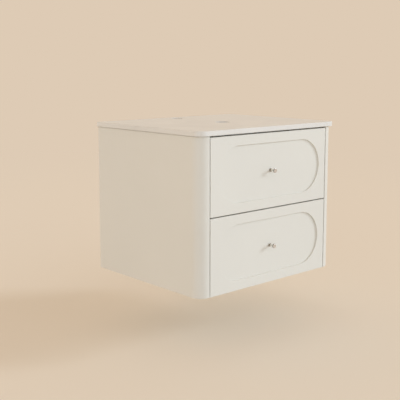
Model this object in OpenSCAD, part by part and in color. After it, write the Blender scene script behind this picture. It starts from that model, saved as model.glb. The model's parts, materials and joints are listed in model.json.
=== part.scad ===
// Wall-hung vanity cabinet with two full-extension drawers, rounded front corners and a thin worktop.
// Origin: centre of the upper wall fixing on the wall plane. +X right, -Y out of the wall, +Z up.

/* [Cabinet] */
// Width over the two side panels
body_w = 550; // [480:10:900]
// Depth from the wall to the face of the drawer fronts
body_d = 460; // [460:5:540]
// Height from the underside of the cabinet to the underside of the worktop
body_h = 438; // [420:2:520]
// Thickness of the side panels, base panel and rails
panel_t = 18; // [16:1:19]
// Width and depth of the solid corner posts
post_w = 35; // [32:1:42]
// Radius of the rounded outer edge of each corner post
corner_r = 34; // [20:1:34]

/* [Worktop] */
// Thickness of the worktop slab
top_t = 14; // [10:1:20]
// How far the worktop stands out past the sides and the front
top_overhang = 5; // [0:1:12]
// Radius of the two front corners of the worktop, seen from above
top_corner_r = 27; // [10:1:38]
// Radius of the eased edges of the worktop
top_edge_r = 1.5; // [0.5:0.5:3]
// Thickness of the sealant bead that beds the worktop on the carcass
bead_t = 1.5; // [1:0.5:2]
// Diameter of the tap hole
tap_hole_d = 35; // [28:1:38]
// Distance of the tap hole's centre from the wall
tap_hole_y = 45; // [40:1:60]
// Diameter of the basin waste hole
waste_hole_d = 45; // [40:1:60]
// Distance of the waste hole's centre from the wall
waste_hole_y = 257; // [220:1:260]

/* [Drawer fronts] */
// Thickness of the drawer fronts
front_t = 18; // [16:1:22]
// Gap between each front and the corner posts
side_gap = 3; // [1.5:0.5:4]
// Shadow gap between the worktop and the upper front
top_gap = 4.5; // [3:0.5:6]
// Gap between the two fronts
mid_gap = 3.5; // [2:0.5:4]
// Frame left round the capsule-shaped recess
recess_margin = 28; // [20:1:45]
// Depth of the capsule-shaped recess
recess_depth = 4.5; // [2:0.5:6]
// Radius of the eased arrises of the fronts
front_edge_r = 0.5; // [0.5:0.5:2]

/* [Drawer boxes] */
// Depth of each drawer box and length of its runners
box_d = 350; // [300:50:350]
// Height of the drawer sides
box_h = 150; // [130:5:160]
// Thickness of the drawer sides, backs and inner fronts
box_t = 15; // [12:1:16]
// Thickness of the drawer bottoms
box_bottom_t = 8; // [6:1:10]
// Clear width of the plumbing well in the upper drawer
well_w = 160; // [120:5:200]
// Clear distance from the waste hole's centre to the front of the well
well_reach = 60; // [50:5:70]
// Thickness of the cheeks round the plumbing well
well_t = 12; // [9:1:15]

/* [Runners] */
// Height of a runner
runner_h = 45; // [42:1:46]
// Sheet thickness of the runner members
sheet_t = 1.2; // [1:0.1:1.2]
// Diameter of the runner balls
ball_d = 3.9; // [3.7:0.05:3.9]
// Number of balls in each row of a cage
balls_per_row = 8; // [6:1:12]

/* [Knobs] */
// Diameter of the knob's head
knob_head_d = 12.5; // [11:0.5:16]
// Thickness of the knob's head
knob_head_t = 4; // [3:0.5:6]
// Distance that the knob stands out from the recess
knob_reach = 20; // [18:1:28]
// Diameter of the knob's stem
knob_stem_d = 5.5; // [5.5:0.5:7]
// Diameter of the knob's rosette
knob_base_d = 10; // [9:0.5:14]
// Thickness of the knob's rosette
knob_base_t = 2.5; // [2:0.5:4]

/* [Wall fixing] */
// Height of the upper wall rail
hang_rail_h = 100; // [80:5:110]
// Distance of the upper fixing holes below the worktop
hang_drop = 60; // [45:5:65]
// Height of the lower wall rail
low_rail_h = 80; // [60:5:90]
// Distance between the two fixing holes in each rail
fixing_spacing = 400; // [300:10:420]
// Diameter of the fixing holes
fixing_d = 8; // [6:1:10]

/* [Hidden] */
$fn = 96;

LEFT = -1;
RIGHT = 1;
LOWER = 0;
UPPER = 1;

// Colours
paint = [0.88, 0.86, 0.82];
stone = [0.86, 0.83, 0.78];
sealant = [0.90, 0.89, 0.86];
drawer_board = [0.93, 0.92, 0.89];
timber = [0.78, 0.66, 0.48];
zinc = [0.72, 0.73, 0.75];
cage_steel = [0.62, 0.63, 0.66];
nickel = [0.72, 0.66, 0.56];

// Cabinet: heights below are measured from its underside, then lowered by base_z
base_z = hang_drop - body_h;
carcass_h = body_h - bead_t;
half_w = body_w / 2;
side_in = half_w - panel_t;
bay_half = half_w - post_w;
front_y = -body_d;
post_back_y = front_y + post_w;
front_back_y = front_y + front_t;
behind_gap = 2;
carcass_front_y = front_back_y + behind_gap;
front_rail_d = 80;
middle_rail_d = 60;
tongue_t = 6;
tongue_d = 8;
bead_w = 12;
bead_inset = 2;

// Drawer fronts
front_w = 2 * (bay_half - side_gap);
front_h = (body_h - top_gap - mid_gap) / 2;
recess_r = front_h / 2 - recess_margin;
recess_half_run = front_w / 2 - recess_margin - recess_r;
mouth_r = 0.8;

// Dowels between the side panels and the base and rails; a seat is y and height above the underside
middle_rail_z = front_h + (mid_gap - panel_t) / 2;
dowel_r = 4;
dowel_in_panel = 12;
dowel_in_board = 18;
dowel_hole_spare = 0.5;
dowel_seats = [
    for (y = [-60, -230, -400]) [y, panel_t / 2],
    for (y = [40, 65]) [carcass_front_y + y, carcass_h - panel_t / 2],
    [carcass_front_y + 40, middle_rail_z + panel_t / 2],
    for (z = [20, hang_rail_h - 20]) [-panel_t / 2, carcass_h - hang_rail_h + z],
    for (z = [20, low_rail_h - 20]) [-panel_t / 2, panel_t + z],
];

// Drawer boxes, with the height of the box above the bottom edge of its front
runner_space = 13;
box_half = bay_half - runner_space;
box_in = box_half - box_t;
box_back_y = front_back_y + box_d;
box_lift = 30;
inner_front_back_y = front_back_y + box_t;
back_in_y = box_back_y - box_t;
groove_lift = 10;
groove_d = 6;
well_half = well_w / 2;
well_out = well_half + well_t;
well_front_y = -waste_hole_y - well_reach;
well_front_out_y = well_front_y - well_t;

// Runners: u runs from the cabinet side to the drawer side, v up from the runner's middle
runner_len = box_d;
runner_front_y = carcass_front_y;
runner_lift = box_lift + 60;
packer_h = 60;
packer_t = post_w - panel_t;
packer_back_y = box_back_y + 7;
hs = sheet_t / 2;
flange_v = runner_h / 2 - hs;
outer_lip_u = 9.2;
lip_drop = 1.7;
middle_web_u = 2.6;
dip_v = flange_v - 5.5;
bulge_v = dip_v + 1.8;
dip_end_u = 5.2;
bulge_start_u = 6.4;
middle_end_u = 10.4;
inner_web_u = 12.3;
inner_flange_v = dip_v - 3.6;
inner_lip_u = 7.4;
runner_hole_ys = [40, runner_len / 2, runner_len - 40];
runner_slot_ys = [80, runner_len - 80];
slot_l = 14;
slot_h = 4.5;
window_l = 28;
window_h = 14;

// Ball cages: the balls run midway between the two races, and a cage goes half as far as what it carries
outer_ball_u = 3.8;
outer_ball_v = (flange_v + dip_v) / 2;
outer_cage_u = 1.4;
inner_ball_u = 7.75;
inner_ball_v = (bulge_v + inner_flange_v) / 2;
inner_cage_u = 4.2;
cage_t = 0.3;
cage_reach = 1.4;
cage_len = runner_len / 2 - 15;
cage_front_y = (runner_len - cage_len) / 2;
pocket_play = 0.1;

// Screws: pilot holes are cut a little wider than the shanks
play = 0.05;
screw_r = 1.75;
screw_head_r = 3.5;
pan_head_t = 1.8;
wood_screw_l = 15;
packer_screw_l = 30;
packer_screw_r = 2;
packer_screw_head_r = 4;
packer_screw_ys = [70, 270];
front_screw_l = box_t + 12;
front_screw_x = box_in - 35;
front_screw_z = [40, 110];
knob_screw_r = 2;
knob_screw_head_r = 4.5;
knob_bore_l = 7;
knob_hole_r = knob_screw_r + 0.25;
knob_arris_r = 1;
rosette_arris_r = 0.8;
knob_screw_head_t = 3;
pointed_tip_l = 4;

// Moves a sub-part from heights above the cabinet's underside to the part's own frame
module lift() {
    translate([0, 0, base_z]) children();
}

// Height of the bottom edge of a drawer front
function front_z(level) = level * (front_h + mid_gap);

// Rectangle from y = 0 to y = depth, its two corners at y = 0 rounded
module eased_profile(width, depth, r) {
    translate([-width / 2, r]) square([width, depth - r]);
    translate([-width / 2 + r, 0]) square([width - 2 * r, r]);
    for (side = [LEFT, RIGHT]) translate([side * (width / 2 - r), r]) circle(r);
}

// Board given by its lowest and highest corners
module board(lo, hi) {
    translate(lo) cube(hi - lo);
}

// Cylinder along +Y from a point
module rod_y(p, r, l) {
    translate(p) rotate([-90, 0, 0]) cylinder(r = r, h = l);
}

// Cylinder along +X or -X from a point
module rod_x(p, side, r, l) {
    translate(p) rotate([0, side * 90, 0]) cylinder(r = r, h = l);
}

// --- Carcass ---

// Side panel with a tongue on its front edge
module side_panel(side) {
    x_mid = half_w - panel_t / 2;
    difference() {
        lift() linear_extrude(carcass_h) {
            translate([side * x_mid - panel_t / 2, post_back_y]) square([panel_t, -post_back_y]);
            translate([side * x_mid - tongue_t / 2, post_back_y - tongue_d])
                square([tongue_t, tongue_d + 1]);
        }
        for (level = [LOWER, UPPER]) packer_holes(level, side);
        dowel_holes();
    }
}

// Solid post with a quarter-round outer edge and a groove for the side panel's tongue
module corner_post(side) {
    x_mid = half_w - panel_t / 2;
    lift() linear_extrude(carcass_h) difference() {
        mirror([side == LEFT ? 1 : 0, 0]) translate([bay_half, front_y]) difference() {
            square(post_w);
            translate([post_w - corner_r, 0]) difference() {
                translate([0, -1]) square([corner_r + 1, corner_r + 1]);
                translate([0, corner_r]) circle(corner_r);
            }
        }
        translate([side * x_mid - tongue_t / 2, post_back_y - tongue_d])
            square([tongue_t, tongue_d + 1]);
    }
}

// Board between the side panels with its front corners cut out for the posts, from z up
module notched_board(z, back_y) {
    difference() {
        lift() difference() {
            board([-side_in, carcass_front_y, z], [side_in, back_y, z + panel_t]);
            for (side = [LEFT, RIGHT])
                translate([side * half_w, 0, z - 1]) linear_extrude(panel_t + 2)
                    translate([-post_w, front_y]) square([2 * post_w, post_w]);
        }
        dowel_holes();
    }
}

// Upright rail on the wall plane with two fixing holes
module wall_rail(z, height, hole_z) {
    difference() {
        lift() board([-side_in, -panel_t, z], [side_in, 0, z + height]);
        for (side = [LEFT, RIGHT])
            rod_y([side * fixing_spacing / 2, -panel_t - 1, hole_z], fixing_d / 2, panel_t + 2);
        dowel_holes();
    }
}

// One rod in each dowel seat of one side, longer by spare at both ends
module dowel_rods(side, r, spare) {
    for (seat = dowel_seats)
        rod_x([side * (side_in - dowel_in_board - spare), seat[0], base_z + seat[1]], side, r,
            dowel_in_board + dowel_in_panel + 2 * spare);
}

module dowel_holes() {
    for (side = [LEFT, RIGHT]) dowel_rods(side, dowel_r + play, dowel_hole_spare);
}

module carcass_dowels() {
    color(timber) for (side = [LEFT, RIGHT]) dowel_rods(side, dowel_r, 0);
}

// --- Worktop ---

// Right half of the carcass's outline from above, drawn in by inset
module carcass_plan(inset) {
    translate([0, front_y + corner_r]) square([half_w - inset, body_d - corner_r - inset]);
    translate([0, front_y + inset]) square([half_w - corner_r, body_d - 2 * inset]);
    translate([half_w - corner_r, front_y + corner_r]) circle(corner_r - inset);
}

// Flat bead along the top edges of the side panels, posts and rails
module worktop_sealant() {
    rail_bead_half = half_w - bead_inset - bead_w;
    color(sealant) translate([0, 0, hang_drop - bead_t]) linear_extrude(bead_t) {
        for (side = [LEFT, RIGHT]) mirror([side == LEFT ? 1 : 0, 0]) intersection() {
            difference() {
                carcass_plan(bead_inset);
                carcass_plan(bead_inset + bead_w);
            }
            translate([bay_half, front_y]) square([post_w, body_d]);
        }
        for (y = [carcass_front_y + bead_inset, -bead_inset - bead_w])
            translate([-rail_bead_half, y]) square([2 * rail_bead_half, bead_w]);
    }
}

// Worktop slab: a plain core, with its edges extruded and its front corners revolved from one profile
module worktop_slab() {
    w = half_w + top_overhang;
    d = body_d + top_overhang;
    r = top_corner_r;
    translate([0, 0, hang_drop]) {
        board([r - w, r - d, 0], [w - r, 0, top_t]);
        translate([0, r - d, 0]) rotate([90, 0, 90])
            linear_extrude(2 * (w - r), center = true) mirror([1, 0]) worktop_edge(r);
        for (side = [LEFT, RIGHT]) {
            translate([side * (w - r), 0, 0]) rotate([90, 0, 0])
                linear_extrude(d - r) mirror([side == LEFT ? 1 : 0, 0]) worktop_edge(r);
            translate([side * (w - r), r - d, 0]) rotate([0, 0, side == LEFT ? 180 : 270])
                rotate_extrude(angle = 90) worktop_edge(r);
        }
    }
}

// Edge of the slab from its inside out to radius r, with eased top and bottom arrises
module worktop_edge(r) {
    e = top_edge_r;
    square([r - e, top_t]);
    translate([0, e]) square([r, top_t - 2 * e]);
    for (z = [e, top_t - e]) translate([r - e, z]) circle(e);
}

module worktop() {
    color(stone) difference() {
        worktop_slab();
        translate([0, -tap_hole_y, hang_drop - 1]) cylinder(d = tap_hole_d, h = top_t + 2);
        translate([0, -waste_hole_y, hang_drop - 1]) cylinder(d = waste_hole_d, h = top_t + 2);
    }
}

// --- Runners ---

// Bent sheet: a stroke of constant thickness along the given points, with round bends
module sheet_profile(points) {
    for (i = [0 : len(points) - 1]) translate(points[i]) circle(hs);
    for (i = [0 : len(points) - 2]) {
        step = points[i + 1] - points[i];
        translate(points[i]) rotate(atan2(step[1], step[0]))
            translate([0, -hs]) square([norm(step), sheet_t]);
    }
}

// Upper half of each member's profile, from the web's middle
outer_path = [[hs, 0], [hs, flange_v], [outer_lip_u, flange_v], [outer_lip_u, flange_v - lip_drop]];
middle_path = [
    [middle_web_u, 0], [middle_web_u, dip_v], [dip_end_u, dip_v],
    [bulge_start_u, bulge_v], [middle_end_u, bulge_v], [middle_end_u, bulge_v - lip_drop],
];
inner_path = [
    [inner_web_u, 0], [inner_web_u, inner_flange_v],
    [inner_lip_u, inner_flange_v], [inner_lip_u, inner_flange_v - lip_drop],
];

// Moves a piece from u, distance behind the runner's front end, and v to its place
module in_runner(level, side) {
    translate([side * bay_half, runner_front_y, runner_z(level)])
        mirror([side == LEFT ? 0 : 1, 0, 0]) children();
}

module runner_member(level, side, path) {
    in_runner(level, side) translate([0, runner_len, 0]) rotate([90, 0, 0])
        linear_extrude(runner_len) {
            sheet_profile(path);
            mirror([0, 1]) sheet_profile(path);
        }
}

// Height of a runner's middle in the part's own frame
function runner_z(level) = base_z + front_z(level) + runner_lift;

// Holes with round ends through a member's web at u, at distances ys behind its front end
module web_slots(level, side, u, l, h, ys) {
    in_runner(level, side) for (y = ys)
        translate([u, y, 0]) rotate([90, 0, 90]) linear_extrude(2 * sheet_t, center = true) {
            square([l - h, h], center = true);
            for (end = [-1, 1]) translate([end * (l - h) / 2, 0]) circle(d = h);
        }
}

// Countersunk holes through an outer member and on into its packer
module outer_screw_holes(level, side) {
    for (y = runner_hole_ys)
        translate([side * (bay_half - sheet_t), runner_front_y + y, runner_z(level)])
            rotate([0, side * 90, 0]) translate([0, 0, -1]) rotate_extrude()
                countersunk_profile(screw_head_r + play, screw_r + play, wood_screw_l, 1);
}

module runner_outer(level, side) {
    color(zinc) difference() {
        runner_member(level, side, outer_path);
        outer_screw_holes(level, side);
        web_slots(level, side, hs, slot_l, slot_h, runner_slot_ys);
    }
}

// Its windows give a screwdriver access to the outer member's screws
module runner_middle(level, side) {
    color(zinc) difference() {
        runner_member(level, side, middle_path);
        web_slots(level, side, middle_web_u, window_l, window_h, runner_hole_ys);
    }
}

module runner_inner(level, side) {
    color(zinc) difference() {
        runner_member(level, side, inner_path);
        web_slots(level, side, inner_web_u, slot_l, slot_h, runner_slot_ys);
        for (y = runner_hole_ys)
            rod_x([side * box_half, runner_front_y + y, runner_z(level)], side, screw_r + play,
                runner_space - inner_web_u + sheet_t + 1);
    }
}

// Places of the balls of one cage: two rows, one above and one below the runner's middle
module at_balls(u, v) {
    pitch = cage_len / balls_per_row;
    for (i = [0 : balls_per_row - 1])
        for (row = [-1, 1])
            translate([u, cage_front_y + (i + 0.5) * pitch, row * v]) children();
}

// Cage bent to a U, with open pockets in its flanges that the balls are snapped into
module ball_cage(web_u, ball_u, ball_v) {
    difference() {
        translate([0, cage_front_y + cage_len, 0]) rotate([90, 0, 0]) linear_extrude(cage_len) {
            translate([web_u, -ball_v]) square([cage_t, 2 * ball_v]);
            for (row = [-1, 1])
                translate([web_u, row * ball_v - cage_t / 2])
                    square([ball_u + cage_reach - web_u, cage_t]);
        }
        at_balls(ball_u, ball_v)
            cylinder(d = ball_d + 2 * pocket_play, h = cage_t + 1, center = true, $fn = 32);
    }
    at_balls(ball_u, ball_v) sphere(d = ball_d, $fn = 24);
}

module outer_ball_cages(level) {
    color(cage_steel) for (side = [LEFT, RIGHT])
        in_runner(level, side) ball_cage(outer_cage_u, outer_ball_u, outer_ball_v);
}

module inner_ball_cages(level) {
    color(cage_steel) for (side = [LEFT, RIGHT])
        in_runner(level, side) ball_cage(inner_cage_u, inner_ball_u, inner_ball_v);
}

// --- Screws ---

// Half profile of a flat-headed hole or screw: head at the bottom, from y = over up
module countersunk_profile(head_r, r, l, over) {
    square([r, l + over]);
    square([head_r, over]);
    translate([0, over])
        polygon([[0, 0], [head_r, 0], [r, head_r - r], [0, head_r - r]]);
}

// Flat-headed screw from its head's face along +Z
module flat_screw(r, head_r, l) {
    rotate_extrude() {
        polygon([[0, 0], [head_r, 0], [r, head_r - r], [r, l - pointed_tip_l], [0, l]]);
    }
}

// Pan-headed screw: its head reaches back from z = 0 and its shank runs along +Z
module pan_screw(r, head_r, l) {
    rotate_extrude()
        polygon([[0, -pan_head_t], [head_r - 1, -pan_head_t], [head_r, -pan_head_t + 1],
            [head_r, 0], [r, 0], [r, l - pointed_tip_l], [0, l]]);
}

// --- Packers ---

module packer_holes(level, side) {
    for (y = packer_screw_ys)
        translate([side * bay_half, post_back_y + y, runner_z(level)]) rotate([0, side * 90, 0])
            translate([0, 0, -1]) rotate_extrude()
                countersunk_profile(packer_screw_head_r + play, packer_screw_r + play,
                    packer_screw_l, 1);
}

module packer(level, side) {
    x0 = side == LEFT ? -side_in : bay_half;
    color(timber) difference() {
        lift() translate([0, 0, front_z(level) + runner_lift - packer_h / 2])
            board([x0, post_back_y, 0], [x0 + packer_t, packer_back_y, packer_h]);
        packer_holes(level, side);
        outer_screw_holes(level, side);
    }
}

module packer_screws() {
    color(zinc) for (level = [LOWER, UPPER])
        for (side = [LEFT, RIGHT])
            for (y = packer_screw_ys)
                translate([side * bay_half, post_back_y + y, runner_z(level)])
                    rotate([0, side * 90, 0])
                        flat_screw(packer_screw_r, packer_screw_head_r, packer_screw_l);
}

module runner_screws() {
    color(zinc) for (level = [LOWER, UPPER])
        for (side = [LEFT, RIGHT])
            for (y = runner_hole_ys)
                translate([side * (bay_half - sheet_t), runner_front_y + y, runner_z(level)])
                    rotate([0, side * 90, 0]) flat_screw(screw_r, screw_head_r, wood_screw_l);
}

// --- Drawers ---

// Cutter for the capsule-shaped recess, with an eased mouth
module recess_cutter() {
    rotate([-90, 0, 0]) {
        for (side = [LEFT, RIGHT])
            translate([side * recess_half_run, 0, 0]) rotate_extrude() recess_profile();
        rotate([90, 0, 90]) linear_extrude(2 * recess_half_run, center = true) {
            recess_profile();
            mirror([1, 0]) recess_profile();
        }
    }
}

module recess_profile() {
    translate([0, -1]) square([recess_r, recess_depth + 1]);
    difference() {
        translate([0, -1]) square([recess_r + mouth_r, mouth_r + 1]);
        translate([recess_r + mouth_r, mouth_r]) circle(mouth_r);
        translate([recess_r + mouth_r / 2, 0]) square([mouth_r, mouth_r]);
    }
}

module drawer_front(level) {
    color(paint) lift() translate([0, front_y, front_z(level)]) difference() {
        intersection() {
            linear_extrude(front_h) eased_profile(front_w, front_t, front_edge_r);
            translate([0, 0, front_h / 2]) rotate([0, 90, 0])
                linear_extrude(front_w, center = true) eased_profile(front_h, front_t, front_edge_r);
        }
        translate([0, 0, front_h / 2]) recess_cutter();
        rod_y([0, -1, front_h / 2], knob_hole_r, front_t + 2);
        for (x = [-front_screw_x, front_screw_x])
            for (z = front_screw_z)
                rod_y([x, front_t + box_t - front_screw_l, box_lift + z], screw_r + play, front_t);
    }
}

// Groove round the inside of a drawer box that holds the bottom panel
module groove(level) {
    z = front_z(level) + box_lift + groove_lift;
    lift() board([-box_in - groove_d, inner_front_back_y - groove_d, z],
        [box_in + groove_d, back_in_y + groove_d, z + box_bottom_t]);
}

module drawer_side(level, side) {
    x_mid = side * (box_half - box_t / 2);
    color(drawer_board) difference() {
        lift() translate([x_mid, 0, front_z(level) + box_lift]) rotate([90, 0, 0])
            translate([0, 0, -box_back_y]) linear_extrude(box_d) mirror([0, 1])
                translate([0, -box_h]) eased_profile(box_t, box_h, 1.5);
        groove(level);
        for (y = runner_hole_ys)
            rod_x([side * (box_half + 1), runner_front_y + y, runner_z(level)], -side,
                screw_r + play, wood_screw_l - 1);
    }
}

module inner_front(level) {
    z = front_z(level) + box_lift;
    color(drawer_board) difference() {
        lift() board([-box_in, front_back_y, z], [box_in, inner_front_back_y, z + box_h]);
        groove(level);
        rod_y([0, front_back_y - 1, base_z + front_z(level) + front_h / 2],
            knob_hole_r, box_t + 2);
        for (x = [-front_screw_x, front_screw_x])
            for (dz = front_screw_z)
                rod_y([x, front_back_y - 1, base_z + z + dz], screw_r + play, box_t + 2);
    }
}

// Back panel of a drawer box between two distances from the middle
module drawer_back(level, x0, x1) {
    z = front_z(level) + box_lift;
    color(drawer_board) difference() {
        lift() board([x0, back_in_y, z], [x1, box_back_y, z + box_h]);
        groove(level);
    }
}

// Space taken out of the upper drawer round the basin's trap, to the middle of the cheeks' grooves
module well_cut() {
    translate([-well_half - groove_d, well_front_y - groove_d, base_z])
        cube([2 * (well_half + groove_d), body_d, body_h]);
}

module bottom_groove_ring(level) {
    difference() {
        groove(level);
        well_cut();
    }
}

module well_cheek(side) {
    z = front_z(UPPER) + box_lift;
    x0 = side == LEFT ? -well_out : well_half;
    color(drawer_board) difference() {
        lift() board([x0, well_front_y, z], [x0 + well_t, box_back_y, z + box_h]);
        bottom_groove_ring(UPPER);
    }
}

module well_front() {
    z = front_z(UPPER) + box_lift;
    color(drawer_board) difference() {
        lift() board([-well_out, well_front_out_y, z], [well_out, well_front_y, z + box_h]);
        bottom_groove_ring(UPPER);
    }
}

// --- Knobs and the drawers' screws ---

module on_knob(level) {
    translate([0, front_y + recess_depth, base_z + front_z(level) + front_h / 2])
        rotate([90, 0, 0]) children();
}

module knob_rosette(level) {
    e = rosette_arris_r;
    color(nickel) on_knob(level) rotate_extrude() difference() {
        translate([knob_hole_r, 0]) square([knob_base_d / 2 - knob_hole_r, knob_base_t]);
        translate([knob_base_d / 2 - e, knob_base_t - e]) difference() {
            square(2 * e);
            circle(e);
        }
    }
}

module knob(level) {
    r = knob_head_d / 2;
    e = knob_arris_r;
    head_z = knob_reach - knob_head_t;
    color(nickel) on_knob(level) difference() {
        rotate_extrude() {
            translate([0, knob_base_t]) square([knob_stem_d / 2, head_z + e - knob_base_t]);
            translate([0, head_z]) square([r - e, knob_head_t]);
            translate([0, head_z + e]) square([r, knob_head_t - 2 * e]);
            for (z = [head_z + e, knob_reach - e]) translate([r - e, z]) circle(e);
        }
        cylinder(r = knob_screw_r + play, h = knob_bore_l + knob_base_t);
    }
}

module knob_screw(level) {
    shank = front_t - recess_depth + box_t;
    color(zinc) translate([0, inner_front_back_y, base_z + front_z(level) + front_h / 2])
        rotate([90, 0, 0]) {
            translate([0, 0, -knob_screw_head_t])
                cylinder(r = knob_screw_head_r, h = knob_screw_head_t);
            cylinder(r = knob_screw_r, h = shank + knob_base_t + knob_bore_l - 2);
        }
}

module front_screws(level) {
    color(zinc) for (x = [-front_screw_x, front_screw_x])
        for (z = front_screw_z)
            translate([x, inner_front_back_y, base_z + front_z(level) + box_lift + z])
                rotate([90, 0, 0]) pan_screw(screw_r, screw_head_r, front_screw_l - 1);
}

module inner_runner_screws(level) {
    color(zinc) for (side = [LEFT, RIGHT])
        for (y = runner_hole_ys)
            translate([side * (bay_half - inner_web_u + hs), runner_front_y + y, runner_z(level)])
                rotate([0, -side * 90, 0]) pan_screw(screw_r, screw_head_r, wood_screw_l - 1);
}

color(paint) side_panel(LEFT);  // left_side_panel
color(paint) side_panel(RIGHT);  // right_side_panel
color(paint) corner_post(LEFT);  // left_corner_post
color(paint) corner_post(RIGHT);  // right_corner_post
color(paint) notched_board(0, 0);  // base_panel
color(paint) notched_board(carcass_h - panel_t, carcass_front_y + front_rail_d);  // front_rail
color(paint) notched_board(middle_rail_z, carcass_front_y + middle_rail_d);  // middle_rail
color(paint) wall_rail(carcass_h - hang_rail_h, hang_rail_h, 0);  // upper_wall_rail
color(paint) wall_rail(panel_t, low_rail_h, base_z + panel_t + low_rail_h / 2);  // lower_wall_rail
carcass_dowels();
worktop_sealant();
worktop();
packer(UPPER, LEFT);  // upper_left_packer
packer(UPPER, RIGHT);  // upper_right_packer
packer(LOWER, LEFT);  // lower_left_packer
packer(LOWER, RIGHT);  // lower_right_packer
runner_outer(UPPER, LEFT);  // upper_left_runner_outer
runner_outer(UPPER, RIGHT);  // upper_right_runner_outer
runner_outer(LOWER, LEFT);  // lower_left_runner_outer
runner_outer(LOWER, RIGHT);  // lower_right_runner_outer
runner_middle(UPPER, LEFT);  // upper_left_runner_middle
runner_middle(UPPER, RIGHT);  // upper_right_runner_middle
runner_middle(LOWER, LEFT);  // lower_left_runner_middle
runner_middle(LOWER, RIGHT);  // lower_right_runner_middle
runner_inner(UPPER, LEFT);  // upper_left_runner_inner
runner_inner(UPPER, RIGHT);  // upper_right_runner_inner
runner_inner(LOWER, LEFT);  // lower_left_runner_inner
runner_inner(LOWER, RIGHT);  // lower_right_runner_inner
outer_ball_cages(UPPER);  // upper_outer_ball_cages
inner_ball_cages(UPPER);  // upper_inner_ball_cages
outer_ball_cages(LOWER);  // lower_outer_ball_cages
inner_ball_cages(LOWER);  // lower_inner_ball_cages
packer_screws();
runner_screws();
drawer_front(UPPER);  // upper_front
inner_front(UPPER);  // upper_inner_front
drawer_side(UPPER, LEFT);  // upper_left_side
drawer_side(UPPER, RIGHT);  // upper_right_side
drawer_back(UPPER, -box_in, -well_out);  // upper_left_back
drawer_back(UPPER, well_out, box_in);  // upper_right_back
well_cheek(LEFT);  // upper_well_left
well_cheek(RIGHT);  // upper_well_right
well_front();  // upper_well_front
color(drawer_board) bottom_groove_ring(UPPER);  // upper_bottom
knob(UPPER);  // upper_knob
knob_rosette(UPPER);  // upper_knob_rosette
knob_screw(UPPER);  // upper_knob_screw
front_screws(UPPER);  // upper_front_screws
inner_runner_screws(UPPER);  // upper_runner_screws
drawer_front(LOWER);  // lower_front
inner_front(LOWER);  // lower_inner_front
drawer_side(LOWER, LEFT);  // lower_left_side
drawer_side(LOWER, RIGHT);  // lower_right_side
drawer_back(LOWER, -box_in, box_in);  // lower_back
color(drawer_board) groove(LOWER);  // lower_bottom
knob(LOWER);  // lower_knob
knob_rosette(LOWER);  // lower_knob_rosette
knob_screw(LOWER);  // lower_knob_screw
front_screws(LOWER);  // lower_front_screws
inner_runner_screws(LOWER);  // lower_runner_screws
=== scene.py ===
"""Looks of the wall-hung vanity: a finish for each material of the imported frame, and detailed screws."""

import json
import math

import bmesh
import bpy
from mathutils import Matrix, Vector


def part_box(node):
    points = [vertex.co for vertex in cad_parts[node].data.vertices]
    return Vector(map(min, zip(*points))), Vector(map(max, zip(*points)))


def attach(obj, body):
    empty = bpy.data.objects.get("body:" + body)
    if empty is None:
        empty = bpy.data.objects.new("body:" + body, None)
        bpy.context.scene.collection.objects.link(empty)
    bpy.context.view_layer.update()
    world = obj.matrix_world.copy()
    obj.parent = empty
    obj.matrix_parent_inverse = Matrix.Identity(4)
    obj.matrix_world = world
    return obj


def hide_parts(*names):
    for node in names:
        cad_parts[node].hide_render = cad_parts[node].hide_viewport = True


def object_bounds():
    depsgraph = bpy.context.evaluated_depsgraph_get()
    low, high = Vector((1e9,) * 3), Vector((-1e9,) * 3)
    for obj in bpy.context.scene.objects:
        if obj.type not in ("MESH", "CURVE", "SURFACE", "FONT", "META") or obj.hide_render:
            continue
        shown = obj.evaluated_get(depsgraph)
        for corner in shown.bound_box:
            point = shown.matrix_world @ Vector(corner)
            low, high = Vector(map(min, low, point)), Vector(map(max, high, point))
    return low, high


bpy.ops.wm.read_factory_settings(use_empty=True)
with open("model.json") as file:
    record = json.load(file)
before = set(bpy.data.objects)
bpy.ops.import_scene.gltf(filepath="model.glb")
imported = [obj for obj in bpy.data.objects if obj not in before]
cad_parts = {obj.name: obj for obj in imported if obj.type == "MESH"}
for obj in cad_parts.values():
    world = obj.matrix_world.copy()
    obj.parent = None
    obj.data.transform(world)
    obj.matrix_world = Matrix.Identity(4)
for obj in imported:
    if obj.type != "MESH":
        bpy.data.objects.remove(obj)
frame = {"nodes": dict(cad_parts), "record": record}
cad_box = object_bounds()
MM = 0.001


# ---------------------------------------------------------------- colours (linear)
def shade(colour, factor):
    """A colour made darker or lighter."""
    return tuple(c * factor for c in colour)


WHITE = (1, 1, 1)
LACQUER = (0.79, 0.77, 0.71)
WORKTOP = (0.80, 0.778, 0.738)
WORKTOP_FLECK = (0.93, 0.92, 0.90)
MELAMINE = (0.80, 0.79, 0.76)
SEALANT = (0.72, 0.70, 0.64)
SOFTWOOD_LIGHT = (0.66, 0.49, 0.29)
SOFTWOOD_DARK = (0.50, 0.33, 0.17)
NICKEL = (0.80, 0.78, 0.73)
# Painted reflection on the knob's faces towards the room: a brighter, cooler nickel
KNOB_FACE_REFLECTION = (0.79, 0.81, 0.85)
# Painted shade on the knob's rim: the nickel made darker
KNOB_RIM_SHADE = shade(NICKEL, 0.42)
# Painted shade on the rosette under the knob's head: its face and edge are the nickel made darker
ROSETTE_FACE_SHADE = shade(NICKEL, 0.55)
ROSETTE_EDGE_SHADE = shade(NICKEL, 0.45)
ZINC = (0.62, 0.63, 0.65)
CAGE_ZINC = shade(ZINC, 0.85)
SCREW_ZINC = shade(ZINC, 1.1)
BACKDROP = (0.730, 0.597, 0.462)
FLOOR = (0.86, 0.785, 0.685)
FLOOR_BOUNCE = (0.78, 0.74, 0.68)
KEY_LIGHT = (0.76, 0.85, 0.94)
FILL_FRONT = (1.17, 1.40, 1.63)
FILL_BACK = (1.46, 1.18, 0.89)
FILL_ZENITH = (0.50, 0.36, 0.22)

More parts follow.
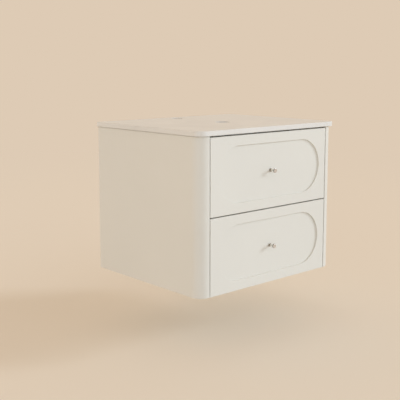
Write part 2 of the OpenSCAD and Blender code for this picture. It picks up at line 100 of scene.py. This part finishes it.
# ---------------------------------------------------------------- camera
# Place in metres, lens and sensor in mm. It is turned to the right of straight ahead and tilted down.
# The shift keeps the upright edges closer to parallel, as they are in the photo.
CAMERA_AT = (-1.6079, -1.9405, 0.2481)
CAMERA_TURN = math.radians(42.006)
CAMERA_TILT = math.radians(7.696)
CAMERA_LENS = 69.40
CAMERA_SENSOR = 36
CAMERA_SHIFT = -0.08


def make_camera():
    """The photo's view of the front and the left side."""
    data = bpy.data.cameras.new("camera")
    data.sensor_width = CAMERA_SENSOR
    data.lens = CAMERA_LENS
    data.shift_y = CAMERA_SHIFT
    camera = bpy.data.objects.new("camera", data)
    camera.location = CAMERA_AT
    camera.rotation_euler = (math.pi / 2 - CAMERA_TILT, 0, -CAMERA_TURN)
    bpy.context.scene.collection.objects.link(camera)
    bpy.context.scene.camera = camera


# ---------------------------------------------------------------- shader nodes
class Shader:
    """A material's node tree, with one Principled BSDF and short calls to add nodes."""

    def __init__(self, name, **inputs):
        self.material = bpy.data.materials.new(name)
        self.material.use_nodes = True
        self.tree = self.material.node_tree
        self.bsdf = self.tree.nodes["Principled BSDF"]
        for key, value in inputs.items():
            self.bsdf.inputs[key.replace("_", " ")].default_value = value
        self.place = self.add("ShaderNodeTexCoord").outputs["Object"]

    def add(self, kind, **settings):
        """A new node with its settings."""
        node = self.tree.nodes.new(kind)
        for key, value in settings.items():
            setattr(node, key, value)
        return node

    def link(self, source, target):
        """Joins an output to an input."""
        self.tree.links.new(source, target)

    def stretched(self, scale):
        """The part's own coordinates, scaled along each axis."""
        mapping = self.add("ShaderNodeMapping")
        mapping.inputs["Scale"].default_value = scale
        self.link(self.place, mapping.inputs["Vector"])
        return mapping.outputs["Vector"]

    def component(self, vector, axis):
        """One component of a vector."""
        node = self.add("ShaderNodeSeparateXYZ")
        self.link(vector, node.inputs[0])
        return node.outputs[axis]

    def noise(self, scale, detail, vector=None, roughness=0.5):
        """Noise from 0 to 1; scale is about how many lumps a metre has."""
        node = self.add("ShaderNodeTexNoise")
        node.inputs["Scale"].default_value = scale
        node.inputs["Detail"].default_value = detail
        node.inputs["Roughness"].default_value = roughness
        self.link(vector or self.place, node.inputs["Vector"])
        return node.outputs["Fac"]

    def ramp(self, value, low, high, start=0.3, end=0.7):
        """A colour between low and high as value goes from start to end."""
        node = self.add("ShaderNodeValToRGB")
        first, last = node.color_ramp.elements
        first.position, first.color = start, (*low, 1)
        last.position, last.color = end, (*high, 1)
        self.link(value, node.inputs["Fac"])
        return node.outputs["Color"]

    def tones(self, value, colour, dark, light):
        """One colour, from its dark to its light shade as value rises."""
        return self.ramp(value, shade(colour, dark), shade(colour, light))

    def span(self, value, low, high, start=0.3, end=0.7):
        """A number between low and high as value goes from start to end."""
        node = self.add("ShaderNodeMapRange")
        for key, number in zip(("From Min", "From Max", "To Min", "To Max"), (start, end, low, high)):
            node.inputs[key].default_value = number
        self.link(value, node.inputs["Value"])
        return node.outputs["Result"]

    def mix(self, factor, first, second, blend="MIX"):
        """Two colours mixed; factor is an output or a number."""
        node = self.add("ShaderNodeMixRGB", blend_type=blend)
        if isinstance(factor, (int, float)):
            node.inputs["Fac"].default_value = factor
        else:
            self.link(factor, node.inputs["Fac"])
        self.link(first, node.inputs["Color1"])
        self.link(second, node.inputs["Color2"])
        return node.outputs["Color"]

    def bump(self, height, depth):
        """Raises the surface by depth metres where height goes from 0 to 1."""
        node = self.add("ShaderNodeBump")
        node.inputs["Strength"].default_value = 1.0
        node.inputs["Distance"].default_value = depth
        self.link(height, node.inputs["Height"])
        return node.outputs["Normal"]

    def finish(self, colour, roughness, normal):
        """The material, with these looks on its BSDF."""
        for name, output in (("Base Color", colour), ("Roughness", roughness), ("Normal", normal)):
            self.link(output, self.bsdf.inputs[name])
        return self.material


# ---------------------------------------------------------------- finishes
KNOB_DISC_T = 4 * MM
# Width of the soft edge where the painted shade on a turned part's rim begins
RIM_SHADE_BLUR = 0.2 * MM


def lacquer():
    """Sprayed satin lacquer: slow drift of tone, faint orange peel, roughness that wanders."""
    look = Shader("lacquer", Specular_IOR_Level=0.4)
    return look.finish(
        colour=look.tones(look.noise(scale=3, detail=3), LACQUER, dark=0.985, light=1.01),
        roughness=look.span(look.noise(scale=35, detail=3), low=0.40, high=0.50),
        normal=look.bump(look.noise(scale=700, detail=2), depth=0.012 * MM),
    )


def worktop():
    """Honed solid surface: fine mineral fleck over a soft cloudy ground."""
    look = Shader("worktop", Specular_IOR_Level=0.25)
    cloud = look.tones(look.noise(scale=9, detail=4), WORKTOP, dark=0.97, light=1.02)
    fleck = look.ramp(look.noise(scale=1400, detail=1), WORKTOP_FLECK, WHITE, start=0.32, end=0.46)
    return look.finish(
        colour=look.mix(factor=0.5, first=cloud, second=fleck, blend="MULTIPLY"),
        roughness=look.span(look.noise(scale=60, detail=3), low=0.58, high=0.72),
        normal=look.bump(look.noise(scale=500, detail=3), depth=0.008 * MM),
    )


def melamine():
    """White faced board with a fine pearl texture."""
    look = Shader("melamine", Specular_IOR_Level=0.4)
    return look.finish(
        colour=look.tones(look.noise(scale=5, detail=3), MELAMINE, dark=0.975, light=1.01),
        roughness=look.span(look.noise(scale=120, detail=2), low=0.46, high=0.58),
        normal=look.bump(look.noise(scale=900, detail=2), depth=0.03 * MM),
    )


def sealant():
    """Cured sealant with a soft, slightly uneven skin."""
    look = Shader("sealant", Specular_IOR_Level=0.35)
    skin = look.noise(scale=180, detail=3)
    return look.finish(
        colour=look.tones(skin, SEALANT, dark=0.96, light=1.02),
        roughness=look.span(skin, low=0.42, high=0.55),
        normal=look.bump(skin, depth=0.05 * MM),
    )


def softwood():
    """Planed softwood, its grain along Y."""
    look = Shader("softwood", Specular_IOR_Level=0.3)
    rings = look.noise(scale=1.6, detail=5, vector=look.stretched((60, 2.5, 60)), roughness=0.6)
    fibre = look.noise(scale=9, detail=3, vector=look.stretched((90, 6, 90)))
    return look.finish(
        colour=look.ramp(rings, SOFTWOOD_DARK, SOFTWOOD_LIGHT, start=0.38, end=0.62),
        roughness=look.span(fibre, low=0.55, high=0.72),
        normal=look.bump(fibre, depth=0.05 * MM),
    )


def zinc(name, colour, dull):
    """Bright zinc plate on drawn sheet, with faint streaks along Y; dull is its middling roughness."""
    look = Shader(name, Metallic=1.0)
    streak = look.noise(scale=5, detail=3, vector=look.stretched((260, 6, 260)))
    return look.finish(
        colour=look.tones(look.noise(scale=28, detail=4), colour, dark=0.96, light=1.03),
        roughness=look.span(streak, low=dull - 0.05, high=dull + 0.07),
        normal=look.bump(streak, depth=0.01 * MM),
    )


def turned_metal_with_painted_light(name, face, stem, rim_shade, rim_y):
    """Nickel turned round Y, with painted light: a bright reflection painted on the faces towards the
    room, and shade painted on the rim in front of rim_y.
    """
    look = Shader(name, Metallic=1.0)
    brushed = look.noise(scale=6, detail=3, vector=look.stretched((400, 60, 400)))
    stems = look.tones(brushed, stem, dark=0.90, light=1.08)
    rim_shades = look.tones(brushed, rim_shade, dark=0.90, light=1.08)
    faces = look.tones(brushed, face, dark=0.95, light=1.03)
    y = look.component(look.place, "Y")
    # Painted shade: the part in front of rim_y takes the darker rim colour
    rim_shade_mask = look.span(y, low=1, high=0, start=rim_y - RIM_SHADE_BLUR, end=rim_y + RIM_SHADE_BLUR)
    # Painted reflection: the faces towards the room take the brighter face colour
    normal_y = look.component(look.add("ShaderNodeTexCoord").outputs["Normal"], "Y")
    room_reflection_mask = look.span(normal_y, low=1, high=0, start=-0.8, end=-0.2)
    return look.finish(
        colour=look.mix(room_reflection_mask, look.mix(rim_shade_mask, stems, rim_shades), faces),
        roughness=look.span(brushed, low=0.16, high=0.28),
        normal=look.bump(brushed, depth=0.01 * MM),
    )


def knob_metal():
    """The knob: a bright reflection painted on the face of its disc, shade painted on its rim, and a
    bright stem behind.
    """
    disc_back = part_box("upper_knob")[0].y + KNOB_DISC_T
    return turned_metal_with_painted_light("knob_metal", KNOB_FACE_REFLECTION, NICKEL, KNOB_RIM_SHADE, disc_back)


def rosette_metal():
    """The rosette: shade painted on all of it, darker than the knob, and all of it in front of the wall
    plane at Y 0.
    """
    return turned_metal_with_painted_light("rosette_metal", ROSETTE_FACE_SHADE, ROSETTE_EDGE_SHADE, ROSETTE_EDGE_SHADE, 0.0)


def slot_finishes():
    """The finish of each material slot of the record."""
    return {
        "painted_board": lacquer(),
        "worktop_stone": worktop(),
        "joint_sealant": sealant(),
        "drawer_board": melamine(),
        "packer_timber": softwood(),
        "runner_steel": zinc("runner_steel", ZINC, dull=0.30),
        "cage_steel": zinc("cage_steel", CAGE_ZINC, dull=0.22),
        "screw_steel": zinc("screw_steel", SCREW_ZINC, dull=0.25),
        "knob_metal": knob_metal(),
    }


def dress_nodes(finishes):
    """Gives every CAD node the finish of its material slot, and the rosettes their own, with painted
    shade.
    """
    # The rosettes' finish is nickel with shade painted on it
    rosette = rosette_metal()
    for part in frame["record"]["subparts"]:
        name = part["node"]
        finish = rosette if name.endswith("_rosette") else finishes[part["material_slot"]]
        for material_slot in frame["nodes"][name].material_slots:
            material_slot.material = finish


# ---------------------------------------------------------------- screws
# Sizes in mm. A screw points up, and its seat is at Z 0: a domed head lies below that, and a
# countersunk one above. A profile's points are a radius and a height.
TURN_STEPS = 24
DOME_STEPS = 7
SHARP_ANGLE = math.radians(32)

# The thread's root is a share of the crest's radius, and its ridge takes a share of the pitch
THREAD_PITCH = 1.6
THREAD_ROOT = 0.66
THREAD_RIDGE = 2 / 3
RINGS_PER_PITCH = 6

WOOD_SHANK_R = 1.75
WOOD_HEAD_R = 3.5
WOOD_POINT_L = 4.0
PAN_HEAD_T = 1.8
FLAT_HEAD_T = 2.0
INNER_SCREW_L = 14
OUTER_SCREW_L = 15
SCREWS_PER_RUNNER = 3

KNOB_SHANK_R = 2.0
KNOB_TIP_R = 1.5
KNOB_TIP_T = 0.6
KNOB_HEAD_R = 4.5
KNOB_HEAD_T = 3

# Cross recesses: the reach of an arm from the middle, and the depth
WOOD_RECESS = (1.9, 1.3)
KNOB_RECESS = (2.3, 1.8)
# An arm's half width as a share of its reach, and the cross's size above the face and at the bottom
ARM_HALF_WIDTH = 0.26
RECESS_ABOVE = 1
RECESS_FLARE = 1.3
RECESS_TAPER = 0.55

LEVELS = ("upper", "lower")
SIDES = (-1, 1)
TO_ROOM = (0, -1, 0)


def domed_head(radius, height, flat):
    """Half profile of a domed head: flat in the middle, then round down to its seat."""
    turns = [math.pi / 2 * i / DOME_STEPS for i in range(DOME_STEPS + 1)]
    dome = [(flat + (radius - flat) * math.sin(t), -height * math.cos(t)) for t in turns]
    return [(0, -height)] + dome


PAN_HEAD = domed_head(WOOD_HEAD_R, PAN_HEAD_T, flat=1.4)
KNOB_HEAD = domed_head(KNOB_HEAD_R, KNOB_HEAD_T, flat=1.5)
FLAT_HEAD = [(0, 0), (3.3, 0), (WOOD_HEAD_R, 0.1), (WOOD_HEAD_R, 0.25), (1.9, 1.75)]


def turned(profile):
    """Rings of a plain turned profile: each is a height and a radius for every turn angle."""
    return [(z, [r] * TURN_STEPS if r else [0]) for r, z in profile]


def threaded(start, length):
    """Rings of a threaded shank that ends in a point."""
    rings = []
    count = int((length - start) * RINGS_PER_PITCH / THREAD_PITCH)
    for k in range(count):
        z = start + (length - start) * k / count
        crest = WOOD_SHANK_R * min(1, (length - z) / WOOD_POINT_L)
        root = crest * THREAD_ROOT
        radii = []
        for i in range(TURN_STEPS):
            phase = (z / THREAD_PITCH - i / TURN_STEPS) % 1
            rise = max(0, 1 - 2 * abs(phase - 0.5) / THREAD_RIDGE)
            radii.append(root + (crest - root) * rise)
        rings.append((z, radii))
    return rings + [(length, [0])]


def bmesh_to_mesh(bm, name):
    """A mesh from a bmesh, which is freed."""
    mesh = bpy.data.meshes.new(name)
    bm.to_mesh(mesh)
    bm.free()
    return mesh


def ring_mesh(name, rings):
    """Closed mesh through the rings; a ring of one radius is a point on the axis."""
    bm = bmesh.new()
    loops = []
    for z, radii in rings:
        angles = [math.tau * i / TURN_STEPS for i in range(len(radii))]
        points = [(r * math.cos(a), r * math.sin(a), z) for r, a in zip(radii, angles)]
        loops.append([bm.verts.new(point) for point in points])
    for low, high in zip(loops, loops[1:]):
        for i in range(TURN_STEPS):
            j = (i + 1) % TURN_STEPS
            corners = (low[i % len(low)], high[i % len(high)], high[j % len(high)], low[j % len(low)])
            bm.faces.new(dict.fromkeys(corners))
    bmesh.ops.recalc_face_normals(bm, faces=bm.faces)
    return bmesh_to_mesh(bm, name)


def cross_outline(reach):
    """The twelve corners of a cross: three of them, turned by quarters."""
    half = ARM_HALF_WIDTH * reach
    corners = [(half, reach), (-half, reach), (-half, half)]
    outline = []
    for _ in range(4):
        outline += corners
        corners = [(-y, x) for x, y in corners]
    return outline


def cross_cutter(face_z, reach, depth):
    """Tapered cross that cuts a drive recess into a head from its face."""
    bm = bmesh.new()
    sections = ((face_z - RECESS_ABOVE, RECESS_FLARE), (face_z, 1), (face_z + depth, RECESS_TAPER))
    loops = [[bm.verts.new((x, y, z)) for x, y in cross_outline(reach * size)] for z, size in sections]
    for low, high in zip(loops, loops[1:]):
        for i in range(len(low)):
            j = (i + 1) % len(low)
            bm.faces.new((low[i], low[j], high[j], high[i]))
    bm.faces.new(loops[0])
    bm.faces.new(loops[-1])
    bmesh.ops.recalc_face_normals(bm, faces=bm.faces)
    return bmesh_to_mesh(bm, "cross_cutter")


def screw_mesh(name, rings, recess):
    """One screw, its cross recess cut into the face of its head."""
    face_z = rings[0][0]
    blank = bpy.data.objects.new(name, ring_mesh(name, rings))
    cutter = bpy.data.objects.new("cross_cutter", cross_cutter(face_z, *recess))
    for obj in (blank, cutter):
        bpy.context.scene.collection.objects.link(obj)
    cut = blank.modifiers.new("recess", "BOOLEAN")
    cut.operation = "DIFFERENCE"
    cut.solver = "EXACT"
    cut.object = cutter
    depsgraph = bpy.context.evaluated_depsgraph_get()
    mesh = bpy.data.meshes.new_from_object(blank.evaluated_get(depsgraph))
    for obj in (blank, cutter):
        bpy.data.objects.remove(obj)
    return mesh


def place_screws(node, body, screw, seats, finish):
    """Copies of a screw in place of a CAD node; a seat is a point and the way the screw goes in."""
    bm = bmesh.new()
    for point, ahead in seats:
        turn = Vector(ahead).to_track_quat("Z", "Y").to_matrix().to_4x4()
        before = len(bm.verts)
        bm.from_mesh(screw)
        bm.verts.ensure_lookup_table()
        place = Matrix.Translation(point) @ turn @ Matrix.Scale(MM, 4)
        bmesh.ops.transform(bm, matrix=place, verts=bm.verts[before:])
    for edge in bm.edges:
        edge.smooth = len(edge.link_faces) == 2 and edge.calc_face_angle(0) < SHARP_ANGLE
    for face in bm.faces:
        face.smooth = True
    mesh = bmesh_to_mesh(bm, f"{node}_detailed")
    mesh.materials.append(finish)
    piece = bpy.data.objects.new(f"{node}_detailed", mesh)
    bpy.context.scene.collection.objects.link(piece)
    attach(piece, body)
    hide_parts(node)


def head_row(low, high, count):
    """Middles of a row of wood screws' heads that fills the span from low to high."""
    first, last = low + WOOD_HEAD_R * MM, high - WOOD_HEAD_R * MM
    return [first + (last - first) * i / (count - 1) for i in range(count)]


def make_front_screws(level, finish):
    """Pan-headed screws that hold a front, from inside its drawer."""
    node = f"{level}_front_screws"
    low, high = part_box(node)
    seat_y = high.y - PAN_HEAD_T * MM
    shank = threaded(0, (seat_y - low.y) / MM)
    screw = screw_mesh("front_screw", turned(PAN_HEAD) + shank, WOOD_RECESS)
    seats = [
        ((x, seat_y, z), TO_ROOM)
        for x in head_row(low.x, high.x, count=2)
        for z in head_row(low.z, high.z, count=2)
    ]
    place_screws(node, f"{level}_drawer", screw, seats, finish)


def make_knob_screw(level, finish):
    """Machine screw that holds a knob, from inside its drawer."""
    node = f"{level}_knob_screw"
    low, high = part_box(node)
    seat = ((low.x + high.x) / 2, high.y - KNOB_HEAD_T * MM, (low.z + high.z) / 2)
    end = (seat[1] - low.y) / MM
    shank = [(KNOB_SHANK_R, 0), (KNOB_SHANK_R, end - KNOB_TIP_T), (KNOB_TIP_R, end), (0, end)]
    screw = screw_mesh("knob_screw", turned(KNOB_HEAD + shank), KNOB_RECESS)
    place_screws(node, f"{level}_drawer", screw, [(seat, TO_ROOM)], finish)


def make_inner_screws(level, finish):
    """Pan-headed screws that hold the runners' inner members to a drawer."""
    node = f"{level}_runner_screws"
    low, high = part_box(node)
    seat_x = high.x - PAN_HEAD_T * MM
    seat_z = (low.z + high.z) / 2
    shank = threaded(0, INNER_SCREW_L)
    screw = screw_mesh("runner_screw", turned(PAN_HEAD) + shank, WOOD_RECESS)
    seats = [
        ((side * seat_x, y, seat_z), (-side, 0, 0))
        for side in SIDES
        for y in head_row(low.y, high.y, SCREWS_PER_RUNNER)
    ]
    place_screws(node, f"{level}_drawer", screw, seats, finish)


def make_outer_screws(finish):
    """Countersunk screws that hold the runners' outer members to the cabinet."""
    node = "runner_screws"
    low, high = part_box(node)
    seat_x = high.x - OUTER_SCREW_L * MM
    shank = threaded(FLAT_HEAD_T, OUTER_SCREW_L)
    screw = screw_mesh("countersunk_screw", turned(FLAT_HEAD) + shank, WOOD_RECESS)
    seats = [
        ((side * seat_x, y, z), (side, 0, 0))
        for side in SIDES
        for y in head_row(low.y, high.y, SCREWS_PER_RUNNER)
        for z in head_row(low.z, high.z, len(LEVELS))
    ]
    place_screws(node, "cabinet", screw, seats, finish)


def make_screws(finish):
    """Screws with cross recesses, in place of the plain ones that an open drawer shows."""
    for level in LEVELS:
        make_front_screws(level, finish)
        make_knob_screw(level, finish)
        make_inner_screws(level, finish)
    make_outer_screws(finish)


# ---------------------------------------------------------------- stage and light
# Lengths in metres. The floor fades into the backdrop between the two distances from its middle, and
# the key light comes from the direction KEY_FROM.
FLOOR_DROP = 0.16
FLOOR_RADIUS = 30.0
FLOOR_CORNERS = 128
FADE_FROM = 1.6
FADE_TO = 4.5
KEY_STRENGTH = 1.2
KEY_FROM = Vector((0.80, -0.51, 0.315))
KEY_ANGLE = math.radians(15)


def seen_ray(tree):
    """1 for rays that show the backdrop: camera, glossy and transmission rays."""
    path = tree.nodes.new("ShaderNodeLightPath")
    total = path.outputs["Is Camera Ray"]
    for name in ("Is Glossy Ray", "Is Transmission Ray"):
        larger = tree.nodes.new("ShaderNodeMath")
        larger.operation = "MAXIMUM"
        tree.links.new(total, larger.inputs[0])
        tree.links.new(path.outputs[name], larger.inputs[1])
        total = larger.outputs[0]
    return total


def floor_material():
    """Pale and matt, with its own tone for the light it sends back, and one with the backdrop far away."""
    material = bpy.data.materials.new("floor")
    material.use_nodes = True
    tree = material.node_tree
    tree.nodes.clear()
    add, link = tree.nodes.new, tree.links.new
    seen = seen_ray(tree)
    tone = add("ShaderNodeMixRGB")
    tone.inputs["Color1"].default_value = (*FLOOR_BOUNCE, 1)
    tone.inputs["Color2"].default_value = (*FLOOR, 1)
    link(seen, tone.inputs["Fac"])
    diffuse = add("ShaderNodeBsdfDiffuse")
    link(tone.outputs["Color"], diffuse.inputs["Color"])
    glow = add("ShaderNodeEmission")
    glow.inputs["Color"].default_value = (*BACKDROP, 1)
    distance = add("ShaderNodeVectorMath")
    distance.operation = "LENGTH"
    link(add("ShaderNodeTexCoord").outputs["Object"], distance.inputs[0])
    fade = add("ShaderNodeMapRange")
    fade.interpolation_type = "SMOOTHSTEP"
    fade.inputs["From Min"].default_value = FADE_FROM
    fade.inputs["From Max"].default_value = FADE_TO
    link(distance.outputs["Value"], fade.inputs["Value"])
    far_and_seen = add("ShaderNodeMath")
    far_and_seen.operation = "MULTIPLY"
    link(fade.outputs["Result"], far_and_seen.inputs[0])
    link(seen, far_and_seen.inputs[1])
    mix = add("ShaderNodeMixShader")
    link(far_and_seen.outputs[0], mix.inputs["Fac"])
    link(diffuse.outputs[0], mix.inputs[1])
    link(glow.outputs[0], mix.inputs[2])
    link(mix.outputs[0], add("ShaderNodeOutputMaterial").inputs["Surface"])
    return material


def make_floor():
    """Round floor, a little way below the cabinet."""
    floor_z = cad_box[0].z - FLOOR_DROP
    bpy.ops.mesh.primitive_circle_add(
        vertices=FLOOR_CORNERS, radius=FLOOR_RADIUS, fill_type="NGON", location=(0, 0, floor_z)
    )
    floor = bpy.context.object
    floor.name = "floor"
    floor.data.materials.append(floor_material())


def make_key():
    """A soft key light from the front right."""
    data = bpy.data.lights.new("key", "SUN")
    data.energy = KEY_STRENGTH
    data.color = KEY_LIGHT
    data.angle = KEY_ANGLE
    key = bpy.data.objects.new("key", data)
    key.rotation_mode = "QUATERNION"
    key.rotation_quaternion = KEY_FROM.to_track_quat("Z", "Y")
    bpy.context.scene.collection.objects.link(key)


def make_world():
    """A fill that is cool from the front, warm from behind and dim from above, and a plain backdrop."""
    world = bpy.data.worlds.new("world")
    bpy.context.scene.world = world
    world.use_nodes = True
    tree = world.node_tree
    tree.nodes.clear()
    add, link = tree.nodes.new, tree.links.new
    direction = add("ShaderNodeSeparateXYZ")
    link(add("ShaderNodeTexCoord").outputs["Generated"], direction.inputs[0])
    backward = add("ShaderNodeMapRange")
    backward.inputs["From Min"].default_value = -1
    link(direction.outputs["Y"], backward.inputs["Value"])
    tint = add("ShaderNodeMixRGB")
    tint.inputs["Color1"].default_value = (*FILL_FRONT, 1)
    tint.inputs["Color2"].default_value = (*FILL_BACK, 1)
    link(backward.outputs["Result"], tint.inputs["Fac"])
    dome = add("ShaderNodeMixRGB")
    dome.inputs["Color2"].default_value = (*FILL_ZENITH, 1)
    link(direction.outputs["Z"], dome.inputs["Fac"])
    link(tint.outputs["Color"], dome.inputs["Color1"])
    fill = add("ShaderNodeBackground")
    link(dome.outputs["Color"], fill.inputs["Color"])
    backdrop = add("ShaderNodeBackground")
    backdrop.inputs["Color"].default_value = (*BACKDROP, 1)
    mix = add("ShaderNodeMixShader")
    link(seen_ray(tree), mix.inputs["Fac"])
    link(fill.outputs[0], mix.inputs[1])
    link(backdrop.outputs[0], mix.inputs[2])
    link(mix.outputs[0], add("ShaderNodeOutputWorld").inputs["Surface"])


# ---------------------------------------------------------------- build
bpy.context.scene.view_settings.view_transform = "Standard"
make_camera()
finishes = slot_finishes()
dress_nodes(finishes)
make_screws(finishes["screw_steel"])
make_floor()
make_key()
make_world()
